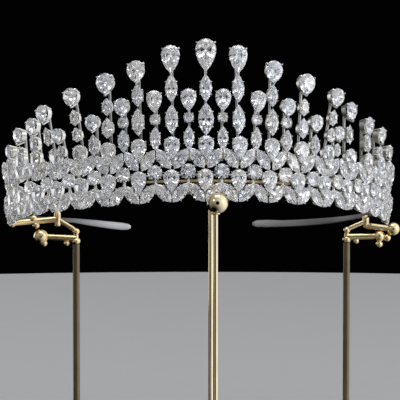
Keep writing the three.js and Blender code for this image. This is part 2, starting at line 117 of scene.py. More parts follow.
# A section carried along paths: corner = path point + section x * sideways + section y * (run x sideways),
# both times the size at that point. Paths are (count, steps, 3), the section is (sides, 2).
def swept(paths, section, size, sideways):
    paths = np.asarray(paths, float)
    paths = paths.reshape((-1,) + paths.shape[-2:])
    count, steps, sides = len(paths), paths.shape[1], len(section)
    run = np.gradient(paths, axis=1)
    run /= np.linalg.norm(run, axis=-1, keepdims=True)
    sideways = np.asarray(sideways, float)  # one for all paths, or one for each
    first = np.broadcast_to(sideways if sideways.ndim < 2 else sideways[:, None], paths.shape)
    first = first - run * (first * run).sum(-1, keepdims=True)
    first /= np.linalg.norm(first, axis=-1, keepdims=True)
    second = np.cross(run, first)
    size = np.asarray(size, float)
    size = np.stack([size, size], -1) if size.ndim < 2 else size
    size = np.broadcast_to(size, (steps, 2))[None, :, None]
    across = np.asarray(section, float)[None, None] * size
    points = paths[:, :, None] + across[..., :1] * first[:, :, None] + across[..., 1:] * second[:, :, None]
    offset = np.arange(count)[:, None, None] * steps * sides
    faces = [(f[None] + offset).reshape(-1, f.shape[1]) for f in tubeFaces(steps, sides)]
    return points.reshape(-1, 3), faces


# Circle: cosine and sine of even angles.
def circle(sides):
    angle = np.arange(sides) * 2 * np.pi / sides
    return np.stack([np.cos(angle), np.sin(angle)], -1)


# Rectangle with round corners: a circle with the size of each coordinate raised to a power.
def roundedBox(sides, power=0.45):
    plain = circle(sides)
    return np.sign(plain) * np.abs(plain) ** power


# Flat points with a height.
def lifted(flat, height):
    return np.column_stack([flat, np.broadcast_to(height, len(flat))])


# Outline of a stone, anticlockwise from the right by an angle in degrees. Its half width at a height is that
# of an arc from the widest line to a tip, which is a plain circle where the tip is half a width away. Towards
# a point it is drawn in by a share of the way to a straight line.
class Outline:
    straight = 0.15
    pointedFrom = 0.501  # a tip further off than this share of the width is a point

    def __init__(self, width, up, down):
        self.width, self.up, self.down = width, up, down

    def reach(self, height):
        return np.where(height > 0, self.up, self.down)

    def pointed(self, reach):
        return reach > self.width * self.pointedFrom

    def halfWidth(self, height):
        reach = self.reach(height)
        radius = (self.width ** 2 / 4 + reach ** 2) / self.width
        arc = np.sqrt(np.maximum(radius ** 2 - height ** 2, 0)) - radius + self.width / 2
        line = self.width / 2 * (1 - np.abs(height) / reach)
        return arc + np.where(self.pointed(reach), self.straight, 0) * (line - arc)

    def at(self, degrees):
        degrees = (np.asarray(degrees, float) + 90) % 360 - 90
        right = degrees <= 90
        turn = np.where(right, degrees, 180 - degrees)
        reach = self.reach(turn)
        height = reach * np.where(self.pointed(reach), turn / 90, np.sin(np.radians(turn)))
        return np.stack([np.where(right, 1, -1) * self.halfWidth(height), height], -1)

    def outwards(self, degrees):  # unit normal, across the run from a degree before to a degree after
        degrees = np.asarray(degrees, float)
        run = self.at(degrees + 1.0) - self.at(degrees - 1.0)
        return np.stack([run[..., 1], -run[..., 0]], -1) / np.linalg.norm(run, axis=-1, keepdims=True)


# Outlines by width and length: a round tip is half a width from the widest line, a point is further off.
def roundOutline(diameter):
    return Outline(diameter, diameter / 2, diameter / 2)


def pearOutline(width, length):
    return Outline(width, width / 2, length - width / 2)


def marquiseOutline(width, length):
    return Outline(width, length / 2, length / 2)


# Table, star and low tips are shares of the outline, crown and depth of the width, edge of the half width.
stoneCut = {
    "table": 0.56, "star": 0.8, "lowTips": 0.3, "crown": 0.16, "depth": 0.42, "edge": 0.03,
    "drawnOut": 2.0,  # the most that low tips are drawn out
    "step": 3,  # degrees between the outline points that distances are taken from
    "corners": 57,
}


# Brilliant cut on an outline: table corners, star tips half a step on, girdle corners, tips low on the
# pavilion and the culet. A star tip lies in the plane of its long facet, so its height falls evenly from
# table to girdle. The pavilion is a keel that runs towards the points: depth at a place = slope * its
# distance from the outline, and the low tips are drawn out along the stone and in across it by as much as it
# is longer than wide.
def cutStone(outline, depth):
    turn = np.arange(8)
    width = outline.width
    edge = stoneCut["edge"] * width / 2
    crown = stoneCut["crown"] * width
    starShare = (1 - stoneCut["star"] * math.cos(math.pi / 8)) / (1 - stoneCut["table"])
    starHeight = edge + (crown - edge) * starShare
    whole, half = outline.at(turn * 45.0), outline.at(turn * 45.0 + 22.5)
    girdle = outline.at(np.arange(16) * 22.5)
    longer = outline.reach(half[:, 1]) / (width / 2)
    drawn = np.stack([1 / longer, np.minimum(longer, stoneCut["drawnOut"])], -1)
    tips = half * stoneCut["lowTips"] * drawn
    slope = (depth - edge) / (width / 2)
    inwards = tips[:, None] - outline.at(np.arange(0, 360, stoneCut["step"]))
    tipHeight = -edge - slope * np.linalg.norm(inwards, axis=-1).min(1)
    points = np.vstack([
        lifted(whole * stoneCut["table"], crown),
        lifted(half * stoneCut["star"], starHeight),
        lifted(girdle, edge),
        lifted(girdle, -edge),
        lifted(tips, tipHeight),
        [[0, 0, -depth]],
    ])
    table, star, high, low, tip = turn, 8 + turn, 16, 32, 48 + turn
    nextTable, lastStar, lastTip = (turn + 1) % 8, 8 + (turn - 1) % 8, 48 + (turn - 1) % 8
    even, odd, then = 2 * turn, 2 * turn + 1, (2 * turn + 2) % 16
    round16, next16 = np.arange(16), (np.arange(16) + 1) % 16
    culet = np.full(8, stoneCut["corners"] - 1)
    return points, [
        table[None],
        np.stack([table, star, nextTable], -1),
        np.stack([table, lastStar, high + even, star], -1),
        np.stack([star, high + even, high + odd], -1),
        np.stack([star, high + odd, high + then], -1),
        np.stack([high + round16, low + round16, low + next16, high + next16], -1),
        np.stack([tip, low + odd, low + even], -1),
        np.stack([tip, low + then, low + odd], -1),
        np.stack([culet, tip, low + even, lastTip], -1),
    ]


# Rows of a claw: share of the outline, radii outwards, height as shares of seat, depth, crown and radius, and
# thickness in radii.
clawCut = {
    "sides": 6,
    "rows": [
        (0.7, 0.2, 1.0, 0, 0, 0, 0.85),
        (0.85, 0.7, 0.45, 0, 0, 0, 0.85),
        (1.0, 1.05, 0, -0.05, 0, 0, 1.0),
        (1.0, 0.85, 0, 0, 0.16, 0, 1.0),
        (0.94, 0.0, 0, 0, 0.32, 0.8, 0.6),
    ],
}
basket = {"rim": 0.82, "rimDrop": 0.4, "foot": 0.7, "wall": 0.3, "sides": 24}


# Setting of one stone. A claw rises from the seat beside the basket, passes the girdle by its own radius and
# bends over the crown: a tapering circle along five points. The basket is a wall that narrows from beside the
# pavilion to the seat: a four-cornered section carried round the outline.
def setting(outline, depth, degrees, radius, seat):
    edge, normal = outline.at(degrees), outline.outwards(degrees)
    rows = np.array(clawCut["rows"])
    height = rows[:, 2:6] @ np.array([seat, depth, stoneCut["crown"] * outline.width, radius])
    flat = edge[:, None] * rows[:, :1] + normal[:, None] * rows[:, 1:2] * radius
    paths = np.concatenate([flat, np.broadcast_to(height[:, None], flat.shape[:2] + (1,))], -1)
    sideways = np.column_stack([-normal[:, 1], normal[:, 0], np.zeros(len(normal))])
    claws = swept(paths, circle(clawCut["sides"]), radius * rows[:, 6], sideways)
    sides, rim, foot = basket["sides"], basket["rim"], basket["foot"]
    around, inset = outline.at(np.arange(sides) * 360 / sides), basket["wall"] / (outline.width / 2)
    top = basket["rimDrop"] * seat
    section = [(rim, top), (foot, seat), (foot - inset, seat), (rim - inset, top)]
    wall = np.stack([lifted(around * share, z) for share, z in section], 1).reshape(-1, 3)
    return joined([claws, (wall, tubeFaces(sides, len(section), closed=True))])


reliefHeight = 0.00005  # m, of grain and polishing marks


# Finishes. A wire is a socket with arithmetic: an expression adds Math nodes, and node() adds any other node.
class Wire:
    def __init__(self, tree, socket):
        self.tree, self.socket = tree, socket

    def node(self, kind, settings=None, sockets=None, out=0):
        made = self.tree.nodes.new(kind)
        for name, value in (settings or {}).items():
            setattr(made, name, value)
        for name, value in (sockets or {}).items():
            if isinstance(value, Wire):
                self.tree.links.new(value.socket, made.inputs[name])
            else:
                made.inputs[name].default_value = value
        return Wire(self.tree, made.outputs[out])

    def maths(self, operation, first, second):
        return self.node("ShaderNodeMath", {"operation": operation}, {0: first, 1: second})

    def __add__(self, other):
        return self.maths("ADD", self, other)

    def __radd__(self, other):
        return self.maths("ADD", other, self)

    def __sub__(self, other):
        return self.maths("SUBTRACT", self, other)

    def __mul__(self, other):
        return self.maths("MULTIPLY", self, other)

    def __rmul__(self, other):
        return self.maths("MULTIPLY", other, self)

    def mark(self, name):  # number kept on the mesh
        return self.node("ShaderNodeAttribute", {"attribute_name": name}, out=2)

    def noise(self, place, scale, detail):
        return self.node("ShaderNodeTexNoise", None, {"Vector": place, "Scale": scale, "Detail": detail})

    def blend(self, share, low, high):  # low colour at 0, high colour at 1
        return self.node("ShaderNodeMix", {"data_type": "RGBA"}, {0: share, 6: low, 7: high}, out=2)

    def relief(self, height, strength):
        return self.node("ShaderNodeBump", None, {
            "Strength": strength, "Distance": reliefHeight, "Height": height})

    def softStep(self, none, full):  # 0 at none, 1 at full, smooth between
        return self.node("ShaderNodeMapRange", {"interpolation_type": "SMOOTHSTEP"}, {
            0: self, 1: none, 2: full, 3: 0.0, 4: 1.0})


# A new material with its fixed values, a wire to start from and a way to feed a wire into its shader.
def finish(name, fixed):
    made = bpy.data.materials.new(name)
    made.use_nodes = True
    tree = made.node_tree
    shader = tree.nodes["Principled BSDF"]
    for socket, value in fixed.items():
        shader.inputs[socket].default_value = value

    def feed(socket, wire):
        tree.links.new(wire.socket, shader.inputs[socket])
    return made, Wire(tree, None), feed


crystalLook = {"ior": 2.16, "cool": (0.93, 0.95, 1.0, 1), "warm": (1.0, 0.985, 0.96, 1)}


# Clear stone: its colour goes from cool to warm by each stone's own tone.
def crystalFinish():
    made, start, feed = finish("crystal", {
        "Roughness": 0.0, "IOR": crystalLook["ior"], "Transmission Weight": 1.0})
    feed("Base Color", start.blend(start.mark("tone"), crystalLook["cool"], crystalLook["warm"]))
    return made


metalDetail = {"drift": 3.0, "marks": 2.0}


# Polished metal: colour and gloss drift over a few mm, and fine polishing marks tilt the surface a little.
def metalFinish(name, look):
    made, start, feed = finish(name, {"Metallic": 1.0})
    place = start.node("ShaderNodeTexCoord", out=3)  # object coordinates
    drift = start.noise(place, look["driftScale"], metalDetail["drift"])
    marks = start.noise(place, look["markScale"], metalDetail["marks"])
    feed("Base Color", start.blend(drift, look["deep"], look["bright"]))
    feed("Roughness", look["gloss"] + look["glossDrift"] * drift)
    feed("Normal", start.relief(marks, look["markDepth"]))
    return made


goldLook = {
    "deep": (0.76, 0.61, 0.34, 1), "bright": (0.96, 0.84, 0.57, 1),
    "driftScale": 180.0, "markScale": 2600.0, "gloss": 0.06, "glossDrift": 0.1, "markDepth": 0.12,
}
# Gold darkened to brown: painted shade for the posts, which stand low in shadow.
paintedShadeGoldLook = {
    "deep": (0.15, 0.12, 0.068, 1), "bright": (0.25, 0.205, 0.125, 1),
    "driftScale": 120.0, "markScale": 1800.0, "gloss": 0.38, "glossDrift": 0.15, "markDepth": 0.15,
}
softGoldLook = {
    "deep": (0.82, 0.58, 0.26, 1), "bright": (1.0, 0.86, 0.53, 1),
    "driftScale": 160.0, "markScale": 2200.0, "gloss": 0.16, "glossDrift": 0.12, "markDepth": 0.15,
}
satinGoldLook = {
    "deep": (0.8, 0.64, 0.34, 1), "bright": (1.0, 0.86, 0.55, 1),
    "driftScale": 60.0, "markScale": 1600.0, "gloss": 0.3, "glossDrift": 0.15, "markDepth": 0.2,
}
whiteLook = {
    "deep": (0.79, 0.77, 0.72, 1), "bright": (0.94, 0.92, 0.87, 1),
    "driftScale": 260.0, "markScale": 3200.0, "gloss": 0.32, "glossDrift": 0.12, "markDepth": 0.1,
}
# White metal darkened to grey: painted shade for the stems, which stand in shadow behind the stones.
stemShadeLook = {
    "deep": (0.3, 0.3, 0.3, 1), "bright": (0.48, 0.48, 0.47, 1),
    "driftScale": 260.0, "markScale": 3200.0, "gloss": 0.16, "glossDrift": 0.12, "markDepth": 0.1,
}
# The near-black colour is painted shade for each strap's end by the garland.
satinLook = {
    "deep": (0.22, 0.22, 0.225, 1), "bright": (0.52, 0.52, 0.525, 1), "paintedShade": (0.1, 0.1, 0.1, 1),
    "alongScale": 0.12, "acrossScale": 3.2, "grainScale": 2.0, "grainDetail": 4.0,
    "gloss": 0.3, "glossDrift": 0.2, "grainDepth": 0.25,
}


# Satin strap: grain drawn along the strap, from noise that is long in the strap's own length, and a painted
# shade that darkens its end by the garland.
def satinFinish():
    made, start, feed = finish("satin_white_metal", {"Metallic": 1.0})
    place = start.node("ShaderNodeCombineXYZ", None, {
        0: start.mark("along") * satinLook["alongScale"], 1: start.mark("across") * satinLook["acrossScale"]})
    grain = start.noise(place, satinLook["grainScale"], satinLook["grainDetail"])
    tone = start.blend(grain, satinLook["deep"], satinLook["bright"])
    # Painted shade: the colour goes from near black by the garland to the grained tone.
    feed("Base Color", start.blend(start.mark("outOfShade"), satinLook["paintedShade"], tone))
    feed("Roughness", satinLook["gloss"] + satinLook["glossDrift"] * grain)
    feed("Normal", start.relief(grain, satinLook["grainDepth"]))
    return made


crystal = crystalFinish()
gold = metalFinish("polished_gold", goldLook)
paintedShadeGold = metalFinish("gold_painted_shade", paintedShadeGoldLook)
softGold = metalFinish("soft_gold", softGoldLook)
satinGold = metalFinish("satin_gold", satinGoldLook)
whiteMetal = metalFinish("polished_white_metal", whiteLook)
# The stems' finish is the white metal with painted shade.
stemShadeMetal = metalFinish("white_metal_painted_shade", stemShadeLook)
satin = satinFinish()
print("finishes made")

sharpAngle = math.radians(50)  # a crease sharper than this stays sharp


# Puts a shape in mm into a mesh object at the origin.
def meshObject(name, shape, material):
    points, faces = shape
    mesh = bpy.data.meshes.new(name)
    mesh.from_pydata((points * mm).tolist(), [], [f for group in faces for f in group.tolist()])
    mesh.materials.append(material)
    made = bpy.data.objects.new(name, mesh)
    scene.collection.objects.link(made)
    return made


# A piece of the part, riding on its one body. Marks are numbers for each corner.
def addPiece(name, shape, material, replaced, smooth=True, marks=None):
    piece = meshObject(name, shape, material)
    if smooth:
        piece.data.shade_smooth()
        piece.data.set_sharp_from_angle(angle=sharpAngle)
    for key, values in (marks or {}).items():
        layer = piece.data.attributes.new(key, "FLOAT", "POINT")
        layer.data.foreach_set("value", np.asarray(values, np.float32))
    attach(piece, "root")
    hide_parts(*replaced)


# A stone is tipped a little in its setting: a turn by chance about each of two axes, in degrees.
def tipped(count, most=3.0):
    tip = dice.uniform(-most, most, (2, count))
    return turned("x", tip[0]) @ turned("y", tip[1])


# Stones of one piece share a mesh, and each has its own tone.
def addStones(name, shapes, replaced):
    corners = stoneCut["corners"]
    tone = np.concatenate([dice.uniform(0, 1, len(points) // corners) for points, _ in shapes])
    addPiece(name, joined(shapes), crystal, replaced, smooth=False,
             marks={"tone": np.repeat(tone, corners)})


# Degrees round the outline at which claws stand.
clawPlaces = {
    "pear": (34, 146, 270), "longPear": (36, 144, 270),
    "marquise": (40, 140, 220, 320), "round": (45, 135, 225, 315),
}

gallery = {"wireRadius": 0.4, "wireBack": -2.45, "wireSides": 8, "wireSteps": 77, "uprightSides": 6,
           "clawRadius": 0.27, "pearLift": 0.4, "armLift": -0.4}
# Tulip rows: a pear over two marquises in a V, with heights up the wall above the rail. Shift and sag are
# tables by unit from the front, of units sideways and mm down.
lowerRow = {
    "pear": (6.0, 8.5), "marquise": (4.5, 9.2), "pearTop": 4.8, "armFoot": (0.25, -7.4), "armLean": 40.0,
    "shift": ((1, 3.5, 5, 7, 9), (0, -0.1, -0.1, -0.2, -0.22)),
    "sag": ((-9, -7, -5, -3, -0.5), (-0.2, 0.1, 0.6, 0.6, 0)),
    "round": 5.7, "roundHeight": 3.9,
    "roundSag": ((-9, -7, -5, -3, -0.5, 1.5, 3.5), (-0.2, 0.1, 0.6, 0.6, 0, 0, 1.1)),
    "link": (-4.0, -2.8, -1.0, 2.0), "linkSize": (0.3, 0.7, 0.7, 0.25), "linkBack": -1.2,
    "wires": (-4.0, 2.8), "upright": (-6.2, 3.2),
}
upperRow = {
    "pear": (6.0, 8.5), "marquise": (4.6, 9.3), "pearTop": 17.2, "armFoot": (0.6, 5.1), "armLean": 35.0,
    "shift": ((-9, 9), (0.03, 0.03)),
    "sag": ((-9, -7, -5, -3, -0.5, 1.5, 3.5, 6, 9), (-1.8, -1.6, 0.6, 1.0, 0, 0, 0.8, 0.6, -0.8)),
    "round": None, "wires": (9.1,), "upright": (6.4, 14.4),
}


# A row of tulips: each kind of stone is carried to the wall frames of all units, moved by the row's tables.
# Round stones and links stand half a unit on, and the wires and uprights of the gallery run behind.
def garland(row, name, node):
    units = np.arange(-ring["lastUnit"], ring["lastUnit"] + 1)
    walls = wallPose(units + np.interp(units, *row["shift"]))
    sag = np.interp(units, *row["sag"])
    back, wireRadius = gallery["wireBack"], gallery["wireRadius"]
    stones, metal = [], []

    def addStone(outline, lift, places, poses):
        depth = min(stoneCut["depth"] * outline.width, lift - back - wireRadius)
        poses = poses @ moved(0, 0, lift) @ tipped(len(poses))
        stones.append(carried(cutStone(outline, depth), poses))
        metal.append(carried(setting(outline, depth, places, gallery["clawRadius"], back - lift), poses))

    width, length = row["pear"]
    pears = walls @ moved(0, row["pearTop"] - width / 2 - sag, 0)
    addStone(pearOutline(width, length), gallery["pearLift"], clawPlaces["pear"], pears)
    width, length = row["marquise"]
    lean = math.radians(row["armLean"])
    armX = row["armFoot"][0] + length / 2 * math.sin(lean)
    armY = row["armFoot"][1] + length / 2 * math.cos(lean)
    for side in (-1, 1):
        arms = walls @ moved(side * armX, armY - sag, 0) @ turned("z", -side * row["armLean"])
        addStone(marquiseOutline(width, length), gallery["armLift"], clawPlaces["marquise"], arms)
    if row["round"]:
        halves = units[:-1] + 0.5
        rounds = wallPose(halves) @ moved(0, row["roundHeight"] - np.interp(halves, *row["roundSag"]), 0)
        addStone(roundOutline(row["round"]), 0.0, clawPlaces["round"], rounds)
        between = wallPose(halves + np.interp(halves, *row["shift"]))
        link = [(0, height, row["linkBack"]) for height in row["link"]]
        metal.append(carried(swept(link, circle(gallery["wireSides"]), row["linkSize"], (1, 0, 0)), between))
    reach = ring["lastUnit"] + 0.5
    wireWalls = wallPose(np.linspace(-reach, reach, gallery["wireSteps"]))
    for height in row["wires"]:
        path = (wireWalls @ np.array([0, height, back, 1]))[:, :3]
        metal.append(swept(path, circle(gallery["wireSides"]), wireRadius, tiaraAxis))
    upright = [(0, height, back) for height in row["upright"]]
    metal.append(carried(swept(upright, circle(gallery["uprightSides"]), wireRadius, (1, 0, 0)), walls))
    addStones(name + "_stones", stones, [node])
    addPiece(name + "_settings", joined(metal), whiteMetal, [node])


garland(lowerRow, "lower", "lower_garland")
garland(upperRow, "upper", "upper_garland")
print("garlands made")

# Spikes from the front outwards: drop and pear (width, length, top), marquise (width, length, middle), round
# (width, middle), and for the left and right spike the lean and the shift of the foot in units.
tallSpikes = [
    {"drop": (7.8, 12.5, 53.4), "lean": (0, 0), "marquises": [(5.9, 12.3, 23.3), (4.7, 10.5, 35.0)]},
    {"drop": (7.1, 10.7, 51.2), "lean": (0, -1.5), "marquises": [(4.9, 11.2, 23.4), (4.7, 10.8, 35.1)]},
    {"drop": (7.0, 8.5, 46.1), "lean": (0.5, 0), "marquises": [(5.0, 10.4, 22.9), (4.4, 8.6, 33.0)]},
    {"drop": (7.0, 8.1, 42.4), "lean": (0, 2), "marquises": [(4.6, 8.0, 21.6), (4.2, 6.8, 29.6)]},
    {"drop": (6.4, 7.2, 38.8), "lean": (6.5, 7), "marquises": [(4.0, 5.8, 20.5), (4.0, 6.4, 27.2)]},
    {"drop": (6.3, 7.2, 34.5), "lean": (9.2, -2.7), "shift": (-0.2, 0), "marquises": [(4.0, 7.6, 21.9)]},
    {"drop": (6.2, 7.1, 30.5), "lean": (4, -3.8), "marquises": [(4.6, 8.0, 20.3)]},
    {"drop": (6.0, 6.6, 28.6), "lean": (2, -5), "marquises": [(4.0, 5.6, 18.6)]},
    {"drop": (5.6, 6.0, 23.8), "lean": (-1, -4), "marquises": []},
]
shortSpikes = [
    {"pear": (6.0, 8.5, 34.8), "round": (4.0, 24.1), "marquise": (4.1, 9.0, 16.4), "lean": (0, 0)},
    {"pear": (6.0, 8.5, 34.5), "round": (4.2, 23.6), "marquise": (4.1, 9.0, 16.4), "lean": (0, 1.5)},
    {"pear": (6.0, 6.9, 32.4), "round": (4.2, 23.2), "marquise": (4.3, 8.7, 16.2), "lean": (0, 0)},
    {"pear": (5.8, 6.5, 27.3), "round": None, "marquise": (4.3, 8.3, 15.7), "lean": (0, 0)},
    {"pear": (5.4, 5.9, 24.3), "round": None, "marquise": (3.6, 5.4, 15.1), "lean": (11, 2),
     "shift": (-0.18, -0.1)},
]
stem = {
    "shift": 0.03, "foot": 8.0, "width": 0.85, "front": -2.7, "back": -3.6, "sides": 12,
    "soft": 0.3, "softShare": 0.7,  # length of the smaller ends and their share of the section
    "lift": 0.75, "sink": 0.2,  # basket above the stem, and seat into it
    "tip": 2.0, "roundDepth": 0.34, "longPear": 8.0, "pastPear": 1.0,
    "clawRadius": 0.28, "dropClawRadius": 0.38, "roundClawRadius": 0.2,
}


# Frame of a spike: the wall at its unit, moved and leaned as its row says for that side.
def spikePose(row, side, unit):
    which = 0 if side < 0 else 1
    shift = row.get("shift", (0, 0))[which] + stem["shift"]
    return wallPose(side * unit + shift, -side * row["lean"][which], stem["foot"])


# A stem is a flat bar with round corners that runs up the wall behind the stones, with smaller ends.
def stemBar(top, pose):
    foot, soft, share = stem["foot"], stem["soft"], stem["softShare"]
    middle, thick = (stem["front"] + stem["back"]) / 2, stem["front"] - stem["back"]
    path = [(0, height, middle) for height in (foot, foot + soft, top - soft, top)]
    size = np.outer([share, 1, 1, share], [stem["width"] / 2, thick / 2])
    return carried(swept(path, roundedBox(stem["sides"]), size, (1, 0, 0)), pose)


# A stone on a stem and its setting: the girdle is in front of the stem by a lift and the stone's depth.
def spikeStone(outline, kind, pose, middle, radius=stem["clawRadius"], share=stoneCut["depth"]):
    depth = share * outline.width
    girdle = stem["front"] + stem["lift"] + depth
    seat = stem["front"] - girdle - stem["sink"]
    pose = pose @ moved(0, middle, girdle) @ tipped(1, stem["tip"])
    metal = setting(outline, depth, clawPlaces[kind], radius, seat)
    return carried(cutStone(outline, depth), pose), carried(metal, pose)


drops, tallStones, tallMetal, tallStems, tallLabels = [], [], [], [], []
for rank, row in enumerate(tallSpikes):
    for side, letter in ((-1, "l"), (1, "r")) if rank else ((-1, "c"),):
        tallLabels.append(letter + str(rank) if rank else letter)
        pose = spikePose(row, side, rank)
        width, length, top = row["drop"]
        kind = "pear" if length < stem["longPear"] else "longPear"
        stone, metal = spikeStone(pearOutline(width, length), kind, pose, top - width / 2,
                                  stem["dropClawRadius"])
        drops.append(stone)
        tallMetal.append(metal)
        tallStems.append(stemBar(top - width / 2, pose))
        for width, length, middle in row["marquises"]:
            stone, metal = spikeStone(marquiseOutline(width, length), "marquise", pose, middle)
            tallStones.append(stone)
            tallMetal.append(metal)

shortStones, shortMetal, shortStems, shortNodes = [], [], [], []
for rank, row in enumerate(shortSpikes):
    for side, letter in ((-1, "l"), (1, "r")):
        shortNodes.append("short_spike_" + letter + str(rank + 1))
        pose = spikePose(row, side, rank + 0.5)
        width, length, top = row["pear"]
        made = [spikeStone(pearOutline(width, length), "pear", pose, top - width / 2)]
        shortStems.append(stemBar(top - width / 2 + stem["pastPear"], pose))
        width, length, middle = row["marquise"]
        made.append(spikeStone(marquiseOutline(width, length), "marquise", pose, middle))
        if row["round"]:
            width, middle = row["round"]
            made.append(spikeStone(roundOutline(width), "round", pose, middle,
                                   stem["roundClawRadius"], stem["roundDepth"]))
        shortStones += [stone for stone, _ in made]
        shortMetal += [metal for _, metal in made]

tallNodes = ["tall_spike_" + label for label in tallLabels]
addStones("drop_stones", drops, ["drop_stone_" + label for label in tallLabels])
addStones("tall_stones", tallStones, tallNodes)
addPiece("tall_settings", joined(tallMetal), whiteMetal, tallNodes)
addPiece("tall_stems", joined(tallStems), stemShadeMetal, tallNodes)
addStones("short_stones", shortStones, shortNodes)
addPiece("short_settings", joined(shortMetal), whiteMetal, shortNodes)
addPiece("short_stems", joined(shortStems), stemShadeMetal, shortNodes)
print("spikes made")

# Gold rail behind the lower row, and the satin straps that go on round the back.
rail = {"radius": 0.5, "ring": 74.7, "ends": (-19, 25.5), "height": 0.8, "sides": 16, "steps": 160,
        "taper": (0.6, 0.95)}  # shares of the radius at the end and one step in
strap = {"thickness": 1.0, "ring": 74.6, "sides": 20, "steps": 140, "power": 0.5,
         "start": (0.4, 0.7), "end": (0.8, 0.6)}  # degrees that thin out, and share of the thickness left
# Strap tables: degrees from the front, height above the rail and breadth in mm. Between two angles the
# painted shade by the garland gives way to the strap's own tone.
strapSides = [
    {"name": "left", "side": -1, "angle": (87.6, 97, 106, 116, 126, 135, 144.5, 151, 154.5, 157, 158),
     "height": (0, 0, 0.3, 1.6, 2.9, 3.65, 3.5, 3.2, 3.05, 3, 3),
     "breadth": (2.4, 2.3, 2.2, 2.0, 1.9, 2.0, 2.95, 3.3, 3.35, 2.7, 1.2), "outOfShade": (130, 156)},
    {"name": "right", "side": 1, "angle": (87.6, 97, 106, 116, 126.4, 134, 141, 147.8, 154, 158, 159.2),
     "height": (0, 0.3, 1.3, 1.9, 2.35, 2.8, 3.1, 3.5, 4.05, 4.3, 4.38),
     "breadth": (2.4, 2.4, 2.3, 2.4, 2.8, 2.95, 3.0, 3.05, 3.45, 3.1, 1.4), "outOfShade": (114, 143)},
]


# Points round the tiara's axis: sine and cosine of the angle from the front, times the radius.
def onRing(degrees, radius, height):
    angle = np.radians(degrees)
    flat = np.stack([radius * np.sin(angle), -radius * np.cos(angle)], -1)
    return lifted(flat, height) @ tiaraPose[:3, :3].T + tiaraPose[:3, 3]


railPath = onRing(np.linspace(*rail["ends"], rail["steps"]), rail["ring"], rail["height"])
railSize = np.full(rail["steps"], rail["radius"])
railSize[:2] *= rail["taper"]
railSize[-2:] *= rail["taper"][::-1]
railShape = swept(railPath, circle(rail["sides"]), railSize, tiaraAxis)
addPiece("rail", railShape, satinGold, ["base_rail"])

section = roundedBox(strap["sides"], strap["power"])
for row in strapSides:
    first, last = row["angle"][0], row["angle"][-1]
    (startRun, startShare), (endRun, endShare) = strap["start"], strap["end"]
    degrees = np.linspace(first, last, strap["steps"])
    height = np.interp(degrees, row["angle"], row["height"])
    breadth = np.interp(degrees, row["angle"], row["breadth"])
    thick = strap["thickness"] * np.interp(
        degrees, (first, first + startRun, last - endRun, last), (startShare, 1, 1, endShare))
    path = onRing(row["side"] * degrees, strap["ring"], height)
    shape = swept(path, section, np.stack([breadth, thick], -1) / 2, tiaraAxis)
    along = np.repeat(np.radians(degrees) * strap["ring"], strap["sides"])
    across = (section[None, :, 0] * breadth[:, None] / 2).ravel()
    # Share out of the painted shade: 0 at the first angle by the garland, 1 at the second.
    outOfShade = np.repeat(np.interp(degrees, row["outOfShade"], (0, 1)), strap["sides"])
    addPiece("strap_" + row["name"], shape, satin, ["back_strap_" + row["name"]],
             marks={"along": along, "across": across, "outOfShade": outOfShade})
print("rail and straps made")

# Stand: heights are above the floor.
base = {"thickness": 5.0, "hub": 20.0, "armWidth": 10.0, "pad": 7.0, "edge": 0.9, "fillet": 2.2,
        "points": 720, "padSteps": 60, "hubSteps": 40, "edgeSteps": 6}
rods = {"radius": 0.9, "sides": 20, "front": (-2.5, -84.4), "rear": (-3.7, -71.0), "rearTop": 108.5,
        "rearDome": 0.8, "yoke": 98.5}
ball = {"radius": 4.0, "place": (-1.8, -84.4, 100.0), "sides": 28, "steps": 24, "socket": 2.0,
        "poles": (0.05, 0.06)}  # radians left open at the near and far pole
collar = {"radius": 1.8, "tall": 0.8, "inBall": 0.1, "lead": 0.6, "steps": 9}
posts = {"radius": 1.4, "top": 78.0}
bracket = {"sleeve": 1.75, "sleeveTop": 80.6, "sleeveDome": 0.6, "strut": 0.95, "strutFoot": 78.6,
           "elbow": 83.6, "bend": 2.0, "knuckle": 1.45, "knuckleHeight": 83.2, "stop": 1.35, "stopDome": 0.5,
           "peg": 1.35, "bar": 80.4, "barRadius": 1.4, "neck": 0.9}
# The stand is turned a little, so its right bracket is further back. Pairs are x and height, but a post is x
# and depth. A stop is x, lower and upper end, a stud is x, height and radius.
bracketSides = [
    {"name": "left", "post": (-56.4, 9.0), "stop": (-64.1, 85.4, 91.6), "strutEnd": 88.4, "pegStart": 88.4,
     "tip": (-83.0, 86.8), "tipRadius": 1.9, "ball": (-71.0, 81.2), "ballRadius": 3.05,
     "studs": [(-74.1, 88.6, 1.6), (-73.0, 85.8, 1.5), (-69.7, 78.4, 1.4), (-60.3, 78.4, 1.2)]},
    {"name": "right", "post": (56.6, 14.0), "stop": (64.6, 84.2, 89.5), "strutEnd": 87.0, "pegStart": 85.1,
     "tip": (76.1, 83.7), "tipRadius": 2.8, "ball": (70.3, 80.7), "ballRadius": 2.4,
     "studs": [(73.6, 80.0, 1.6), (70.3, 77.4, 1.5), (60.6, 78.7, 1.2)]},
]


